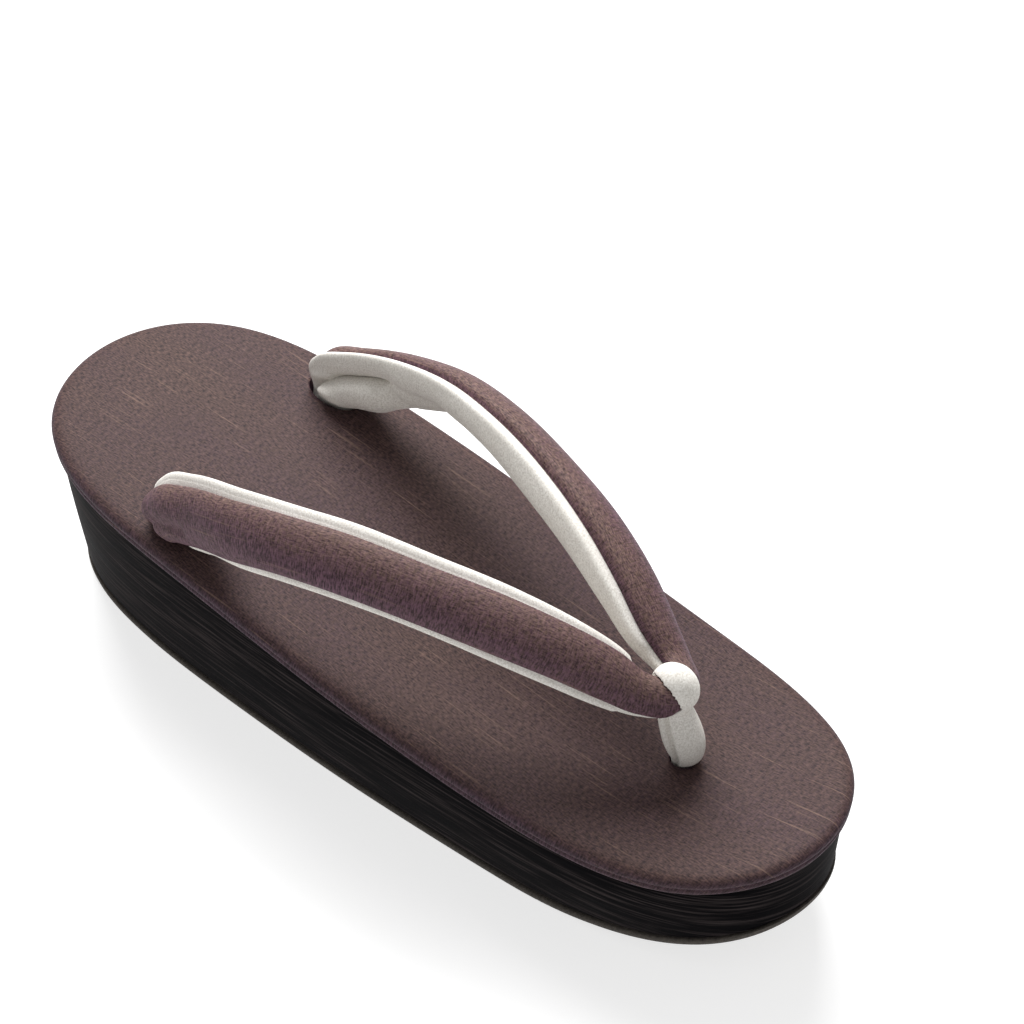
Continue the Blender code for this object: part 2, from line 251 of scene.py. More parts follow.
def outline(inset, draft=0.0):
    """Points around the sole from the heel along the right side, moved in by inset."""
    angle = np.linspace(0, 2 * math.pi, SOLE_POINTS, endpoint=False)

    def edge(at):
        s = (1 - np.cos(at)) / 2
        fullness = smooth(OUTLINE_ALONG, OUTLINE_FULLNESS, s)
        return np.stack([np.sin(at) / 2 * fullness * SOLE_WIDTH, (s - 0.5) * SOLE_LENGTH])

    step = 1e-3
    x, y = edge(angle)
    dx, dy = edge(angle + step) - edge(angle - step)
    length = np.hypot(dx, dy)
    s = share(y)
    ends = np.clip((s - 0.8) / 0.2, 0, 1) ** 2 + np.clip((0.2 - s) / 0.2, 0, 1) ** 2
    inward = inset + draft * (1 - ends)
    return np.stack([x - inward * dy / length, y + inward * dx / length], -1)


def sole_ring(inset, draft, height):
    """Ring of points around the sole, with height a function of the place along it."""
    place = outline(inset, draft)
    return np.column_stack([place, height(place[:, 1])])


edge_points = outline(0.0)
edge_steps = np.linalg.norm(np.diff(edge_points, axis=0, append=edge_points[:1]), axis=1)
EDGE_WALK = np.concatenate([[0], np.cumsum(edge_steps)[:-1]])
EDGE_LENGTH = float(edge_steps.sum())
print(f"round the sole: {EDGE_LENGTH / MM:.0f} mm")

# %% [markdown]
# Closing the sole's pieces
# A ring of 240 points could be closed with one large face, but the top of a zori isn't flat. Grid
# Fill lays a net of four-cornered faces inside the ring instead, with its long rows from heel to toe.
# The net's points are then set to the height that belongs to their place.

# %% Close a ring with a net and set its heights
NET_ACROSS = 24


def close_with_net(piece, number, height):
    """Fill the ring with a grid, and lift its inner points onto height(x, y)."""
    select_ring(piece, number)
    mesh = bmesh.from_edit_mesh(piece.data)
    around = mesh.verts.layers.int["around"]
    ring = mesh.verts.layers.int["ring"]
    corner = SOLE_POINTS - NET_ACROSS // 2
    for vertex in mesh.verts:
        if vertex.select and vertex[around] - 1 == corner:
            mesh.select_history.clear()
            mesh.select_history.add(vertex)
    before = len(mesh.verts)
    bmesh.update_edit_mesh(piece.data)
    bpy.ops.mesh.fill_grid(span=NET_ACROSS, offset=0)
    mesh = bmesh.from_edit_mesh(piece.data)
    mesh.verts.ensure_lookup_table()
    around = mesh.verts.layers.int["around"]
    ring = mesh.verts.layers.int["ring"]
    for vertex in mesh.verts[before:]:
        vertex.co.z = height(vertex.co.x, vertex.co.y)
        vertex[around] = 0
        vertex[ring] = 0
    bmesh.update_edit_mesh(piece.data)


# %% [markdown]
# Outsole
# The outsole is a sheet of crepe rubber, 3 mm thick, glued under the platform and trimmed flush. It
# could stay a plain plate, but its lower edge is scuffed round on a real pair, so its rings step in
# at the bottom. It turns up at the toe with the platform.

# %% Model the outsole
OUTSOLE_EDGE = ((1.0, 0.00), (0.25, 0.10), (-0.2, 0.32), (-0.4, 0.62), (-0.35, 0.9), (0.0, 1.0))
rings = []
for inset, rise in OUTSOLE_EDGE:
    lift = rise * OUTSOLE_THICKNESS
    rings.append(sole_ring(BED_OVERHANG + inset * MM, SIDE_DRAFT, lambda y: ground_line(y) + lift))
outsole = grow_rings("outsole_sheet", rings)
close_with_net(outsole, 1, lambda x, y: ground_line(y))
close_with_net(outsole, len(rings), lambda x, y: ground_line(y) + OUTSOLE_THICKNESS)
finish_mesh(outsole, 60)
heights = np.outer([row[1] for row in OUTSOLE_EDGE], np.full(SOLE_POINTS, OUTSOLE_THICKNESS))
lay_sheet(outsole, np.tile(EDGE_WALK, (len(rings), 1)), heights, EDGE_LENGTH)

# %% [markdown]
# Platform
# The platform is a light core wrapped in a thin black sheet. The sheet is stretched around the long
# sides, which belly out below the footbed and draw in toward the floor. Its grain runs round the shoe.
# A box with a bevel would miss the belly, so the side is built of rings at chosen heights.

# %% Model the platform
PLATFORM_RINGS = (1.0, 0.985, 0.96, 0.88, 0.76, 0.62, 0.48, 0.34, 0.22, 0.12, 0.05, 0.012, 0.0)
PLATFORM_EDGE = 0.5 * MM
rings = []
for down in PLATFORM_RINGS:
    def side_height(y):
        foot = ground_line(y) + OUTSOLE_THICKNESS + FIT_GAP
        return platform_top(y) * (1 - down) + foot * down
    softened = PLATFORM_EDGE * max(0.0, 1 - min(down, 1 - down) / 0.02)
    rings.append(sole_ring(BED_OVERHANG + softened, SIDE_DRAFT * down ** SIDE_BELLY, side_height))
platform = grow_rings("platform_wrapped", rings)
close_with_net(platform, 1, lambda x, y: ground_line(y) + OUTSOLE_THICKNESS + FIT_GAP)
close_with_net(platform, len(rings), lambda x, y: platform_top(y))
finish_mesh(platform, 50)
side_walk = np.tile(EDGE_WALK, (len(rings), 1))
lay_sheet(platform, side_walk, np.array([ring[:, 2] for ring in rings]), EDGE_LENGTH)

# %% [markdown]
# Footbed
# The footbed is a board with a thin pad, wrapped in the same cloth as the straps and rolled over at
# its edge. The pad rolls over the board, and a shallow groove shows where the one ends and the other
# begins. That roll is what the eye reads as soft, so it gets many close rings. The cloth's UV map is
# the flat piece of cloth before it was wrapped: each ring lies further out by the length of the roll.

# %% Model the footbed
BED_EDGE = (
    (0.50, 0.00), (0.16, 0.00), (0.09, 0.03), (0.045, 0.09), (0.02, 0.16), (0.02, 0.24), (0.05, 0.31),
    (0.085, 0.36), (0.075, 0.40), (0.03, 0.45), (0.00, 0.52), (0.00, 0.60), (0.03, 0.69), (0.09, 0.78),
    (0.19, 0.865), (0.33, 0.93), (0.52, 0.97), (0.80, 0.99), (1.30, 1.00),
)
rings = []
for inset, rise in BED_EDGE:
    lift = FIT_GAP + rise * (BED_THICKNESS - FIT_GAP)
    rings.append(sole_ring(inset * BED_THICKNESS, 0.0, lambda y: platform_top(y) + lift))
roll = np.array(BED_EDGE) * BED_THICKNESS
runs = np.concatenate([[0], np.cumsum(np.hypot(*np.diff(roll, axis=0).T))])
flat = np.array([outline(roll[-1, 0] - (runs[-1] - run)) for run in runs])
footbed = grow_rings("footbed_wrapped", rings)
close_with_net(footbed, 1, lambda x, y: platform_top(y) + FIT_GAP)
close_with_net(footbed, len(rings), lambda x, y: bed_top(y))
finish_mesh(footbed, 60)
lay_sheet(footbed, flat[:, :, 0], flat[:, :, 1])


# %% Cut the three holes that the straps and the post go through
def apply_modifier(piece, kind, **settings):
    """Add a modifier to a piece with its settings, and apply it."""
    pick(piece)
    modifier = piece.modifiers.new(kind.lower(), kind)
    for key, value in settings.items():
        setattr(modifier, key, value)
    bpy.ops.object.modifier_apply(modifier=modifier.name)


def drop_crumbs(piece):
    """Merge doubled points and drop the tiny flat faces that a Boolean can leave."""
    pick(piece)
    bpy.ops.object.mode_set(mode="EDIT")
    bpy.ops.mesh.select_all(action="SELECT")
    bpy.ops.mesh.remove_doubles(threshold=CRUMB_SIZE)
    bpy.ops.mesh.dissolve_degenerate(threshold=CRUMB_SIZE)
    bpy.ops.object.mode_set(mode="OBJECT")


def cut_hole(piece, place, half_long, half_wide):
    """Cut an oval hole straight through the footbed."""
    depth = 6 * BED_THICKNESS
    bpy.ops.object.select_all(action="DESELECT")
    bpy.ops.mesh.primitive_cylinder_add(vertices=40, radius=1.0, depth=depth,
                                        location=(*place, bed_top(place[1])),
                                        scale=(half_wide, half_long, 1.0))
    cutter = bpy.context.object
    bpy.ops.object.transform_apply(location=True, rotation=True, scale=True)
    apply_modifier(piece, "BOOLEAN", operation="DIFFERENCE", object=cutter, solver="EXACT")
    bpy.data.objects.remove(cutter, do_unlink=True)


CRUMB_SIZE = 0.005 * MM
HOLES = ((0.363, -0.246, 7.8, 4.4), (-0.363, -0.246, 7.8, 4.4), (0.0, 0.325, 3.4, 3.2))
for out, along, half_long, half_wide in HOLES:
    cut_hole(footbed, (out * SOLE_WIDTH, along * SOLE_LENGTH), half_long * MM, half_wide * MM)
drop_crumbs(footbed)
print(f"footbed with {len(HOLES)} holes: {len(footbed.data.polygons)} faces")

# %% [markdown]
# The straps' run
# Each strap arm comes up out of the footbed at the side of the heel, leans forward over the instep and
# runs down to the toe loop. Its section is an oval, which turns as it goes: upright at the heel, and
# facing more and more up toward the toe. Each row below is one section, and between them the same
# smooth curve is read.

# %% Sections of one arm
STRAP_WIDTH = 21.4 * MM
STRAP_THICKNESS = 15.0 * MM
STRAP_CROWN = 33.3 * MM
STRAP_RINGS = 190
RINGS_TO_TAIL = 1.35
COLUMNS = ("along", "out", "rise", "width", "thick", "heading", "lean", "roll")
STRAP = (
    (-0.246, 0.363, -0.17, 0.62, 0.38, 5, 90, 0),
    (-0.246, 0.363, 0.01, 0.64, 0.44, 5, 89, 3),
    (-0.245, 0.378, 0.115, 0.80, 0.80, 5, 71, 8),
    (-0.233, 0.380, 0.230, 0.86, 0.83, 6, 52, 12),
    (-0.198, 0.381, 0.390, 0.90, 0.80, 7, 34, 12),
    (-0.128, 0.397, 0.655, 0.88, 0.78, 3, 21, 22),
    (-0.069, 0.389, 0.845, 0.83, 0.79, -7, 10, 36),
    (-0.005, 0.350, 0.96, 0.83, 0.85, -14, -1, 42),
    (0.078, 0.283, 1.00, 0.80, 0.95, -17, -7, 44),
    (0.156, 0.212, 0.97, 0.79, 0.99, -19, -13, 48),
    (0.213, 0.151, 0.875, 0.74, 0.94, -23, -19, 51),
    (0.257, 0.100, 0.755, 0.65, 0.80, -27, -19, 48),
    (0.288, 0.071, 0.680, 0.51, 0.61, -38, -14, 38),
    (0.308, 0.039, 0.680, 0.46, 0.53, -60, -6, 24),
    (0.315, 0.000, 0.71, 0.34, 0.38, -90, 0, 15),
)


# %% Read the sections along the arm
def strap_stations():
    """Centre, section sizes, section directions and distance walked, along one arm."""
    table = dict(zip(COLUMNS, np.array(STRAP, float).T))
    scale = {"along": SOLE_LENGTH, "out": SOLE_WIDTH, "rise": STRAP_CROWN}
    steps = sum(np.diff(table[key] * size) ** 2 for key, size in scale.items()) ** 0.5
    walk = np.concatenate([[0], np.cumsum(steps)])
    at = walk[-1] * np.linspace(0, 1, STRAP_RINGS) ** RINGS_TO_TAIL
    value = {key: smooth(walk, table[key], at) for key in COLUMNS}
    y = value["along"] * SOLE_LENGTH
    centre = np.stack([value["out"] * SOLE_WIDTH, y, bed_top(y) + value["rise"] * STRAP_CROWN], -1)
    heading, lean, roll = (np.radians(value[key])[:, None] for key in ("heading", "lean", "roll"))
    forward = np.hstack([np.sin(heading), np.cos(heading), 0 * heading])
    outward = np.hstack([np.cos(heading), -np.sin(heading), 0 * heading])
    normal = np.cos(lean) * np.array([0, 0, 1]) - np.sin(lean) * forward
    face = np.cos(roll) * outward + np.sin(roll) * normal
    seam = np.cos(roll) * normal - np.sin(roll) * outward
    half_width = value["width"] * STRAP_WIDTH / 2
    half_thick = value["thick"] * STRAP_THICKNESS / 2
    return centre, half_width, half_thick, seam, face, at


CENTRE, HALF_WIDTH, HALF_THICK, SEAM, FACE, WALK = strap_stations()
MIRROR = np.array([-1, 1, 1])
print(f"one arm: {WALK[-1] / MM:.0f} mm long")

# %% [markdown]
# Strap panels
# A strap is two panels sewn together over a padded core: cloth outside, suede inside. Both are turned
# in at their seams, which leaves a narrow valley there, and the suede rolls over the top so that it
# shows as a pale edge. Each panel is its own closed form, parted at the seams by a hair's width. Its
# points lie closest together beside the seams, where the bend is tightest.

# %% Folds of the straps: depth and width in mm, and the places where each line runs
# A place is the distance walked along the arm in mm and the angle round its section.
MARKS = {
    "lining": (
        {"depth": -3.0, "width": 3.4, "line": ((17, 300), (25, 307), (36, 298))},
        {"depth": -3.2, "width": 1.3, "line": ((6, 318), (13, 291), (21, 298), (29, 303), (33, 290))},
        {"depth": -1.6, "width": 1.8, "line": ((33, 290), (36, 255), (37, 225))},
        {"depth": -1.6, "width": 5.0, "line": ((42, 275), (54, 262))},
        {"depth": 2.2, "width": 5.0, "line": ((13, 252), (27, 248))},
        {"depth": 1.0, "width": 3.5, "line": ((11, 205), (24, 202))},
        {"depth": -1.2, "width": 4.0, "line": ((7, 338), (13, 322))},
    ),
    "face": (
        {"depth": -1.0, "width": 1.5, "line": ((4, 70), (9, 88), (16, 103), (24, 108))},
        {"depth": 0.4, "width": 3.5, "line": ((10, 60), (22, 70))},
    ),
}
MM_PER_DEGREE = 0.14


def soft_marks(walk, angles, marks):
    """Height in mm of the soft ridges and troughs at one place along the arm."""
    height = np.zeros_like(angles)
    point = np.stack([np.full_like(angles, walk), angles * MM_PER_DEGREE], -1)
    for mark in marks:
        line = np.array(mark["line"], float) * (1, MM_PER_DEGREE)
        nearest = np.full_like(angles, np.inf)
        for start, end in zip(line, line[1:]):
            way = end - start
            t = np.clip((point - start) @ way / (way @ way), 0, 1)
            nearest = np.minimum(nearest, np.linalg.norm(point - start - t[:, None] * way, axis=1))
        height += mark["depth"] * np.exp(-(nearest / mark["width"]) ** 2)
    return height


# %% Rings of one panel
SEAM_ALONG = (0.00, 0.15, 0.30, 0.42, 0.55, 0.70, 0.84, 0.90, 0.95, 1.00)
UPPER_SEAM = (4.0, 4.0, 8.0, 16.0, 22.0, 19.0, 12.0, 3.0, -14.0, -30.0)
LOWER_SEAM_ALONG = (0.0, 0.1, 0.2, 0.6, 0.9, 1.0)
LOWER_SEAM = (176.0, 165.0, 162.0, 168.0, 162.0, 163.0)
SEAM_GAP = 0.2 * MM
SEAM_DIP = 0.14
FACE_DIP_REACH = 0.26
LINING_DIP_REACH = 0.13
TAIL_SHOULDER = 0.18
TAIL_SHOULDER_REACH = 0.75
TAIL_SHOULDER_END = 90.0 * MM
LINING_ROLL = 0.06
LOWER_ROLL = (32, 0.5)
UPPER_ROLL = (-15, 0.25)
SEAM_CREASE = 0.35 * MM
SEAM_CREASE_WIDTH = 0.5 * MM
SINK_LIMIT = 0.2
FACE_POINTS = 48
LINING_POINTS = 96


def close_to_ends(count, pull=0.75):
    """Numbers from 0 to 1 that lie closer together near both ends."""
    t = np.linspace(0, 1, count)
    return t - pull * np.sin(2 * math.pi * t) / (2 * math.pi)


def pad_swell(angles, start, end, tail):
    """Size against the plain oval: drawn in at the seams, fuller where the lining rolls over.

    start and end are the panel's seams in degrees, and only the lining's end lies past 360. tail is 1 at
    the strap's tail, where the cloth's shoulder is flat, and 0 further on.
    """
    def bump(at, reach):
        return np.exp(-((angles - math.radians(at)) / reach) ** 2)

    if end < 360:
        dips = SEAM_DIP * bump(start, FACE_DIP_REACH) + SEAM_DIP * bump(end, FACE_DIP_REACH)
        return 1 - (dips + TAIL_SHOULDER * tail * bump(start, TAIL_SHOULDER_REACH))
    dips = SEAM_DIP * bump(start, LINING_DIP_REACH) + SEAM_DIP * bump(end, LINING_DIP_REACH)
    lower_roll = LINING_ROLL * bump(start + LOWER_ROLL[0], LOWER_ROLL[1])
    upper_roll = LINING_ROLL * bump(end + UPPER_ROLL[0], UPPER_ROLL[1])
    return 1 - dips + np.maximum(lower_roll, upper_roll)


def panel_ring(panel, i, count):
    """Ring i of one panel of the right arm."""
    upper = float(smooth(SEAM_ALONG, UPPER_SEAM, WALK[i] / WALK[-1]))
    lower = float(smooth(LOWER_SEAM_ALONG, LOWER_SEAM, WALK[i] / WALK[-1]))
    start, end = (upper, lower) if panel == "face" else (lower, 360 + upper)
    skip = SEAM_GAP / 2 / min(HALF_WIDTH[i], HALF_THICK[i])
    first, last = math.radians(start) + skip, math.radians(end) - skip
    angles = first + (last - first) * close_to_ends(count)
    swell = pad_swell(angles, start, end, max(0.0, 1 - WALK[i] / TAIL_SHOULDER_END))
    flat = np.stack([HALF_WIDTH[i] * np.cos(angles) * swell, HALF_THICK[i] * np.sin(angles) * swell], -1)
    steps = np.linalg.norm(np.diff(flat, axis=0), axis=1)
    girth = np.concatenate([[0], np.cumsum(steps)])
    to_seam = np.minimum(girth, girth[-1] - girth)
    size = np.linalg.norm(flat, axis=1)
    sink = np.minimum(SEAM_CREASE * np.exp(-(to_seam / SEAM_CREASE_WIDTH) ** 2), size * SINK_LIMIT)
    sink -= soft_marks(WALK[i] / MM, np.degrees(angles), MARKS[panel]) * MM
    flat *= (1 - sink / size)[:, None]
    return CENTRE[i] + flat[:, :1] * SEAM[i] + flat[:, 1:] * FACE[i], girth


def make_panel(name, panel, count):
    """One panel of both arms, from the right tail through the joint to the left tail."""
    made = [panel_ring(panel, i, count) for i in range(STRAP_RINGS)]
    right = [ring for ring, _ in made]
    left = [ring * MIRROR for ring in right[:-1]]
    girth = [around for _, around in made]
    piece = grow_rings(name, right + left[::-1])
    close_ends(piece, 50)
    across = np.array(girth + girth[:-1][::-1])
    walk = np.concatenate([WALK, 2 * WALK[-1] - WALK[:-1][::-1]])
    lay_sheet(piece, across, np.tile(walk[:, None], (1, count)))
    return piece


# %% Model the two panels
strap_face = make_panel("strap_face_padded", "face", FACE_POINTS)
strap_lining = make_panel("strap_lining_padded", "lining", LINING_POINTS)

# %% [markdown]
# Toe loop
# A strip of suede is folded over the joint of the straps, drawn together below it and pulled down
# through the footbed: a round head, a pinched neck and a flattened post of two legs side by side. The
# head starts as a sphere and the post as rings. A Boolean joins them and another one cuts the room for
# the straps. A voxel Remesh then turns the whole into one skin with soft edges, like leather.

# %% Model the toe loop
LOOP_HEAD = 12.2 * MM
LOOP_HEAD_RISE = 23.4 * MM
LOOP_HEAD_SHAPE = (0.84, 1.0, 1.02)
POST_WIDTH = 10.2 * MM
POST_DEPTH = 10.6 * MM
POST_GROOVE = 0.42
POST_GROOVE_REACH = 0.17
LOOP_VOXEL = 0.30 * MM
LOOP_SMOOTHING = 8
POST_COLUMNS = ("rise", "along", "width", "depth")
POST = (
    (-0.22, 0.325, 0.54, 0.54),
    (0.00, 0.325, 0.56, 0.56),
    (0.06, 0.327, 0.66, 0.70),
    (0.13, 0.327, 0.80, 0.84),
    (0.24, 0.325, 0.94, 0.96),
    (0.42, 0.320, 0.98, 0.98),
    (0.56, 0.315, 0.92, 0.90),
    (0.68, 0.311, 0.82, 0.82),
    (0.90, 0.309, 0.80, 0.82),
)
POST_FOOT = bed_top(POST[0][1] * SOLE_LENGTH)


def post_rings(rows=30, count=96):
    """Rings of the post, from its foot in the footbed up into the head."""
    table = dict(zip(POST_COLUMNS, np.array(POST, float).T))
    turn = np.linspace(0, 2 * math.pi, count, endpoint=False)
    groove = 1 - POST_GROOVE * np.exp(-(np.sin(turn) / POST_GROOVE_REACH) ** 2)
    rings = []
    for rise in np.linspace(table["rise"][0], table["rise"][-1], rows):
        width, depth, along = (smooth(table["rise"], table[key], rise) for key in ("width", "depth", "along"))
        rings.append(np.stack([width * POST_WIDTH / 2 * np.cos(turn) * groove,
                               along * SOLE_LENGTH + depth * POST_DEPTH / 2 * np.sin(turn),
                               np.full(count, POST_FOOT + rise * LOOP_HEAD_RISE)], -1))
    return rings


toe_loop = grow_rings("toe_loop_suede", post_rings())
close_ends(toe_loop)
head_place = (0, POST[-1][1] * SOLE_LENGTH, POST_FOOT + LOOP_HEAD_RISE)
bpy.ops.object.select_all(action="DESELECT")
bpy.ops.mesh.primitive_uv_sphere_add(segments=48, ring_count=32, radius=LOOP_HEAD / 2, location=head_place)
loop_head = bpy.context.object
bpy.ops.object.mode_set(mode="EDIT")
bpy.ops.mesh.select_all(action="SELECT")
bpy.ops.transform.resize(value=LOOP_HEAD_SHAPE)
bpy.ops.object.mode_set(mode="OBJECT")


# %% The straps' own room inside the loop
ROOM = 0.20 * MM
ROOM_RINGS = 34
ROOM_TURN = np.linspace(0, 2 * math.pi, 56, endpoint=False)


def strap_room():
    """Closed form a little larger than the straps where they meet."""
    right = []
    for i in range(STRAP_RINGS - ROOM_RINGS, STRAP_RINGS):
        across = (HALF_WIDTH[i] + ROOM) * np.cos(ROOM_TURN)[:, None] * SEAM[i]
        through = (HALF_THICK[i] + ROOM) * np.sin(ROOM_TURN)[:, None] * FACE[i]
        right.append(CENTRE[i] + across + through)
    left = [ring * MIRROR for ring in right[:-1]]
    room = grow_rings("strap_room", right + left[::-1])
    close_ends(room)
    return room


# %% Join head and post and give them one skin
apply_modifier(toe_loop, "BOOLEAN", operation="UNION", object=loop_head, solver="EXACT")
bpy.data.objects.remove(loop_head, do_unlink=True)
room = strap_room()
apply_modifier(toe_loop, "BOOLEAN", operation="DIFFERENCE", object=room, solver="EXACT")
bpy.data.objects.remove(room, do_unlink=True)
apply_modifier(toe_loop, "REMESH", mode="VOXEL", voxel_size=LOOP_VOXEL)
apply_modifier(toe_loop, "SMOOTH", factor=0.5, iterations=LOOP_SMOOTHING)
bpy.ops.object.shade_smooth_by_angle(angle=math.radians(60))
print(f"toe loop: {len(toe_loop.data.polygons)} faces")

# %% [markdown]
# Colours and nodes
# Colours are picked from the object as sRGB hex values, and the shader works with linear light, so
# one function turns them. A second function adds a node with its options and its inputs, where an
# input is either a value or the socket that feeds it.


# %% Two helpers for materials
def linear(hex_colour):
    """Linear RGBA of an sRGB hex colour."""
    channels = [int(hex_colour[i:i + 2], 16) / 255 for i in (1, 3, 5)]
    return [*(c / 12.92 if c <= 0.04045 else ((c + 0.055) / 1.055) ** 2.4 for c in channels), 1.0]


def node(tree, kind, options=None, inputs=None):
    """Add a node, set its options, and set or link its inputs."""
    made = tree.nodes.new("ShaderNode" + kind)
    for key, value in (options or {}).items():
        setattr(made, key, value)
    for key, value in (inputs or {}).items():
        if isinstance(value, bpy.types.NodeSocket):
            tree.links.new(value, made.inputs[key])
        else:
            made.inputs[key].default_value = value
    return made


def new_material(name, **settings):
    """Material with a Principled shader. Constant values go on the shader's own sockets."""
    material = bpy.data.materials.new(name)
    material.use_nodes = True
    shader = material.node_tree.nodes["Principled BSDF"]
    for key, value in settings.items():
        shader.inputs[key.replace("_", " ")].default_value = value
    return material, material.node_tree, shader


# %% [markdown]
# Woven cloth
# The cloth is a plain weave of spun threads, uneven and slubbed, brown one way and purple the other.
# That is why it shimmers. Here the shimmer is painted light: the colour is mixed toward the brown threads
# where the cloth faces up to the light above, and toward the purple ones where it turns down at a side.
# A photograph of cloth would be stuck at one size, so the threads are noise, stretched long one way for
# the warp and the other way for the weft. A real thread is about 0.3 mm wide. It is drawn at 0.36 mm,
# because a finer one would fall between the pixels.

# %% Cloth material
THREAD = 0.36 * MM
THREAD_RUN = 1.3 * MM
SLUB = 0.6 * MM
SLUB_RUN = 26.0 * MM


def woven_cloth(name, browns, plums):
    """Uneven plain weave on the UV map, with slubs, a painted shimmer of two colours by facing, and a soft
    sheen.
    """
    material, tree, shader = new_material(
        name, Roughness=0.62, IOR=1.5, Sheen_Weight=0.05, Sheen_Roughness=0.4,
        Sheen_Tint=linear("#9c86a6"), Specular_IOR_Level=0.14)
    sheet = node(tree, "UVMap", {"uv_map": "sheet"})
    threads = []
    for across, along, seed in ((THREAD, THREAD_RUN, 0.0), (THREAD_RUN, THREAD, 7.3)):
        place = node(tree, "Mapping", inputs={"Vector": sheet.outputs[0],
                                              "Scale": (1 / across, 1 / along, 1),
                                              "Location": (seed, seed, seed)})
        grain = node(tree, "TexNoise", inputs={"Vector": place.outputs[0], "Scale": 1.0,
                                               "Detail": 2.0, "Roughness": 0.55})
        threads.append(grain.outputs["Fac"])
    slubs = []
    for across, along, seed in ((SLUB, SLUB_RUN, 3.1), (SLUB_RUN, SLUB, 11.9)):
        place = node(tree, "Mapping", inputs={"Vector": sheet.outputs[0],
                                              "Scale": (1 / across, 1 / along, 1),
                                              "Location": (seed, seed, seed)})
        grain = node(tree, "TexNoise", inputs={"Vector": place.outputs[0], "Scale": 1.0, "Detail": 1.0})
        slubs.append(node(tree, "MapRange", inputs={"Value": grain.outputs["Fac"], "From Min": 0.64,
                                                    "From Max": 0.80}).outputs[0])
    tone = node(tree, "MapRange", inputs={"Value": threads[0], "From Min": 0.33, "From Max": 0.67})
    brown = node(tree, "Mix", {"data_type": "RGBA"}, {0: tone.outputs[0], 6: linear(browns[0]),
                                                      7: linear(browns[1])})
    tone = node(tree, "MapRange", inputs={"Value": threads[1], "From Min": 0.33, "From Max": 0.67})
    plum = node(tree, "Mix", {"data_type": "RGBA"}, {0: tone.outputs[0], 6: linear(plums[0]),
                                                     7: linear(plums[1])})
    patch_place = node(tree, "Mapping", inputs={"Vector": sheet.outputs[0], "Scale": (28, 14, 1)})
    patch = node(tree, "TexNoise", inputs={"Vector": patch_place.outputs[0], "Scale": 1.0, "Detail": 2.0})
    drift = node(tree, "MapRange", inputs={"Value": patch.outputs["Fac"], "From Min": 0.3, "From Max": 0.7,
                                           "To Min": -0.2, "To Max": 0.2})
    # Painted shimmer: the colour turns from brown toward purple as the surface's normal tips down from
    # straight up, plus random patches from the drift.
    facing = node(tree, "SeparateXYZ", inputs={0: node(tree, "TexCoord").outputs["Normal"]})
    side = node(tree, "MapRange", inputs={"Value": facing.outputs["Z"], "From Min": 0.95, "From Max": 0.45,
                                          "To Min": 0.3, "To Max": 0.85})
    painted_shimmer_and_patches = node(tree, "Math", {"operation": "ADD", "use_clamp": True}, {0: side.outputs[0],
                                                                        1: drift.outputs[0]})
    colour = node(tree, "Mix", {"data_type": "RGBA"}, {0: painted_shimmer_and_patches.outputs[0], 6: brown.outputs[2],
                                                       7: plum.outputs[2]})
    for amount, tint in zip(slubs, ("#8f7567", "#241a1c")):
        soft = node(tree, "Math", {"operation": "MULTIPLY"}, {0: amount, 1: 0.4})
        colour = node(tree, "Mix", {"data_type": "RGBA"}, {0: soft.outputs[0], 6: colour.outputs[2],
                                                           7: linear(tint)})
    tree.links.new(colour.outputs[2], shader.inputs["Base Color"])
    both = node(tree, "Math", {"operation": "ADD"}, {0: threads[0], 1: threads[1]})
    raised = node(tree, "Math", {"operation": "MULTIPLY_ADD"}, {0: slubs[0], 1: 0.4, 2: both.outputs[0]})
    bump = node(tree, "Bump", inputs={"Height": raised.outputs[0], "Strength": 0.6, "Distance": 0.14 * MM})
    tree.links.new(bump.outputs[0], shader.inputs["Normal"])
    return material


bed_cloth = woven_cloth("woven slub cloth", ("#241b1a", "#614b44"), ("#1f141b", "#523d48"))
# The straps get a lighter copy of the footbed's cloth: painted light, because the straps' curved sides catch
# more of the light.
strap_cloth = woven_cloth("woven slub cloth, strap copy painted lighter", ("#312422", "#856c5f"), ("#271920", "#6e505f"))

# %% [markdown]
# Suede
# Suede is leather whose flesh side was sanded to a short nap. It has no gloss at all: it scatters
# light, is a little brighter at its edges, and looks dusty, with fine specks where the nap lies over.
# The nap is fine noise in colour and bump, about 0.3 mm across, with slow patches of rubbed nap.

# %% Suede material
NAP = 0.45 * MM
RUBBED_PATCH = 9.0 * MM


def suede(name):
    """Off-white suede with a short nap."""
    material, tree, shader = new_material(
        name, Roughness=0.95, IOR=1.45, Sheen_Weight=0.12, Sheen_Roughness=0.6,
        Sheen_Tint=linear("#fffdf8"), Specular_IOR_Level=0.15)
    place = node(tree, "TexCoord").outputs["Object"]
    nap = node(tree, "TexNoise", inputs={"Vector": place, "Scale": 1 / NAP, "Detail": 4.0,
                                         "Roughness": 0.65})
    patch = node(tree, "TexNoise", inputs={"Vector": place, "Scale": 1 / RUBBED_PATCH, "Detail": 2.0})
    tone = node(tree, "MapRange", inputs={"Value": nap.outputs["Fac"], "From Min": 0.3, "From Max": 0.62})
    base = node(tree, "Mix", {"data_type": "RGBA"}, {0: tone.outputs[0], 6: linear("#c4beb5"),
                                                     7: linear("#f0ede7")})
    rubbed = node(tree, "MapRange", inputs={"Value": patch.outputs["Fac"], "From Min": 0.35,
                                            "From Max": 0.7, "To Min": 0.0, "To Max": 0.3})
    colour = node(tree, "Mix", {"data_type": "RGBA"}, {0: rubbed.outputs[0], 6: base.outputs[2],
                                                       7: linear("#d8d3cb")})
    tree.links.new(colour.outputs[2], shader.inputs["Base Color"])
    bump = node(tree, "Bump", inputs={"Height": nap.outputs["Fac"], "Strength": 0.5,
                                      "Distance": 0.15 * MM})
    tree.links.new(bump.outputs[0], shader.inputs["Normal"])
    return material


pale_suede = suede("sanded suede")

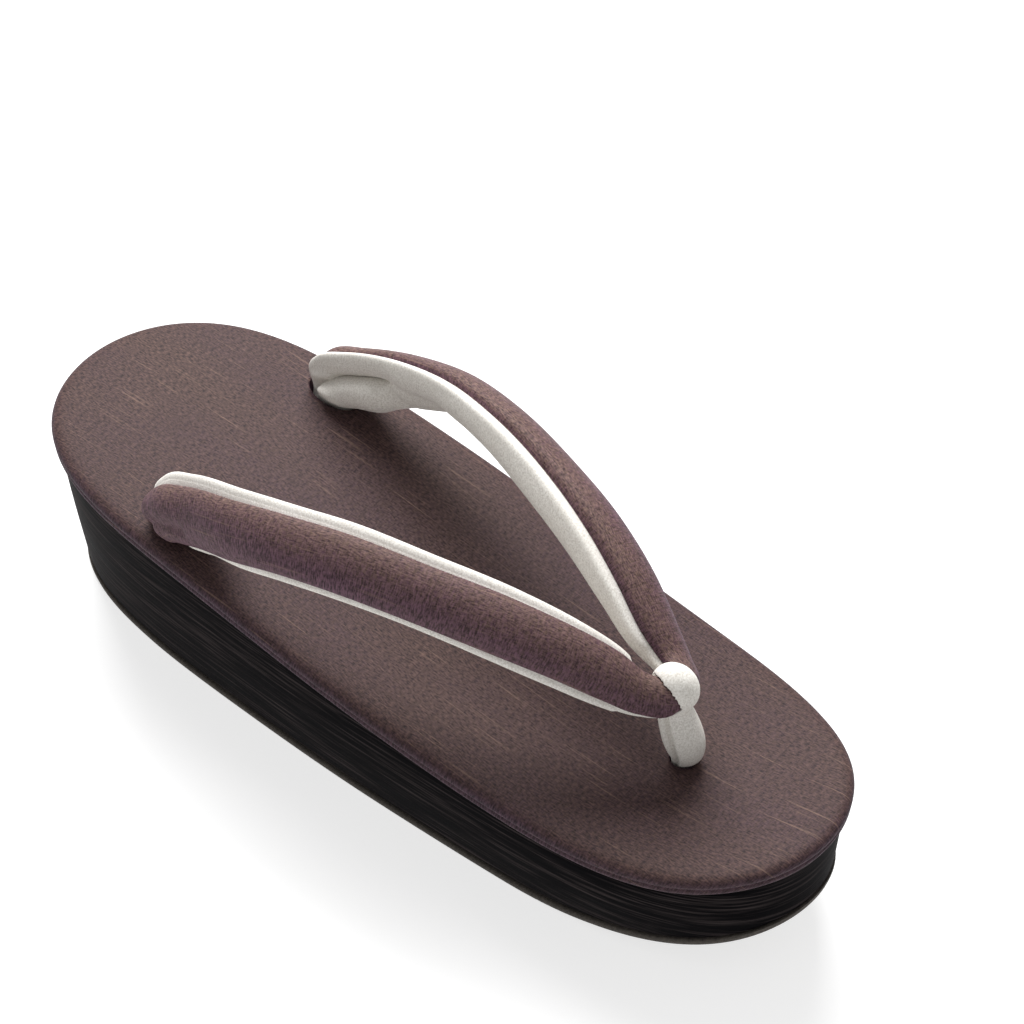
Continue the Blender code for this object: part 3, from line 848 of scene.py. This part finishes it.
# %% [markdown]
# Black wrap
# The platform's sheet is a near-black film with a fine grain pressed into it, like brushed wood. The
# grain runs level round the shoe in long thin streaks, some greyer and some smoother. In the object's
# own coordinates those streaks are noise stretched thirty times longer than it is high. A UV map would
# leave a seam at the heel, where its two ends meet.

# %% Black wrap material
GRAIN_WIDTH = 0.80 * MM
GRAIN_RUN = 24.0 * MM


def black_wrap(name):
    """Satin black film with a streaked grain along the sole."""
    material, tree, shader = new_material(name, IOR=1.05)
    place = node(tree, "Mapping", inputs={"Vector": node(tree, "TexCoord").outputs["Object"],
                                          "Scale": (1 / GRAIN_RUN, 1 / GRAIN_RUN, 1 / GRAIN_WIDTH)})
    grain = node(tree, "TexNoise", inputs={"Vector": place.outputs[0], "Scale": 1.0, "Detail": 3.0,
                                           "Roughness": 0.6})
    streak = node(tree, "MapRange", inputs={"Value": grain.outputs["Fac"], "From Min": 0.48,
                                            "From Max": 0.72})
    colour = node(tree, "Mix", {"data_type": "RGBA"}, {0: streak.outputs[0], 6: linear("#040305"),
                                                       7: linear("#383232")})
    tree.links.new(colour.outputs[2], shader.inputs["Base Color"])
    polish = node(tree, "MapRange", inputs={"Value": grain.outputs["Fac"], "From Min": 0.3,
                                            "From Max": 0.7, "To Min": 0.45, "To Max": 0.65})
    tree.links.new(polish.outputs[0], shader.inputs["Roughness"])
    bump = node(tree, "Bump", inputs={"Height": grain.outputs["Fac"], "Strength": 0.35,
                                      "Distance": 0.15 * MM})
    tree.links.new(bump.outputs[0], shader.inputs["Normal"])
    return material


wrap = black_wrap("black grained film")

# %% [markdown]
# Crepe rubber
# The outsole's rubber is matt and a little crumbly at its cut edge, a brown grey with paler and darker
# crumbs. One size of noise gives the crumbs.

# %% Rubber material
CRUMB = 0.8 * MM


def crepe_rubber(name):
    """Matt brown-grey rubber with fine crumbs."""
    material, tree, shader = new_material(name, Roughness=0.88, IOR=1.52)
    place = node(tree, "TexCoord").outputs["Object"]
    crumbs = node(tree, "TexNoise", inputs={"Vector": place, "Scale": 1 / CRUMB, "Detail": 4.0,
                                            "Roughness": 0.7})
    tone = node(tree, "MapRange", inputs={"Value": crumbs.outputs["Fac"], "From Min": 0.3,
                                          "From Max": 0.7})
    colour = node(tree, "Mix", {"data_type": "RGBA"}, {0: tone.outputs[0], 6: linear("#28231f"),
                                                       7: linear("#4f4841")})
    tree.links.new(colour.outputs[2], shader.inputs["Base Color"])
    bump = node(tree, "Bump", inputs={"Height": crumbs.outputs["Fac"], "Strength": 0.7,
                                      "Distance": 0.25 * MM})
    tree.links.new(bump.outputs[0], shader.inputs["Normal"])
    return material


rubber = crepe_rubber("crepe rubber")

# %% [markdown]
# Putting the pieces in place of the imported ones
# Each new piece stands where its imported node stands, so it takes its place, rides on the same body and
# gets its material. The straps, their lining and the wrapped footbed are padded.

# %% Ride, replace and finish
PIECES = (
    (outsole, "outsole", "outsole_rubber", rubber, None),
    (platform, "platform", "platform_black", wrap, None),
    (footbed, "footbed", "footbed_cloth", bed_cloth, 0.9),
    (strap_face, "strap_face", "strap_cloth", strap_cloth, 0.8),
    (strap_lining, "strap_lining", "strap_suede", pale_suede, 0.8),
    (toe_loop, "toe_loop", "loop_suede", pale_suede, None),
)
for piece, cad_node, slot, material, fill in PIECES:
    pick(piece)
    bpy.ops.object.transform_apply(location=True, rotation=True, scale=True)
    piece.data.materials.clear()
    piece.data.materials.append(material)
    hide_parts(cad_node)
    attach(piece, "root")
print(f"{len(PIECES)} pieces in place")

# %% [markdown]
# Floor and light
# The sandal stands on white paper under a large soft light from behind, as in a small product studio.
# The paper is so brightly lit that it comes out white, and only the contact shadow shows. A world of
# even white fills the shadows, as the studio's walls do.

# %% Floor and light
bpy.ops.object.select_all(action="DESELECT")
bpy.ops.mesh.primitive_plane_add(size=8.0)
floor = bpy.context.object
floor.name = "floor_paper"
paper, _, _ = new_material("white paper", Base_Color=linear("#bcbcbc"), Roughness=0.9,
                           Emission_Color=(1, 1, 1, 1), Emission_Strength=0.68)
floor.data.materials.append(paper)


def soft_light(place, size, power, aim=(0.0, 0.0, 0.04)):
    """Square soft box that faces the shoe."""
    rotation = (Vector(aim) - Vector(place)).to_track_quat("-Z", "Y").to_euler()
    bpy.ops.object.light_add(type="AREA", location=place, rotation=rotation)
    lamp = bpy.context.object
    lamp.data.shape = "SQUARE"
    lamp.data.size = size
    lamp.data.energy = power


soft_light((-0.50, -0.50, 0.90), 0.75, 24.0)
world = bpy.data.worlds.new("studio")
world.use_nodes = True
world.node_tree.nodes["Background"].inputs["Color"].default_value = (1, 1, 1, 1)
world.node_tree.nodes["Background"].inputs["Strength"].default_value = 0.42
bpy.context.scene.world = world
bpy.context.scene.view_settings.view_transform = "Standard"
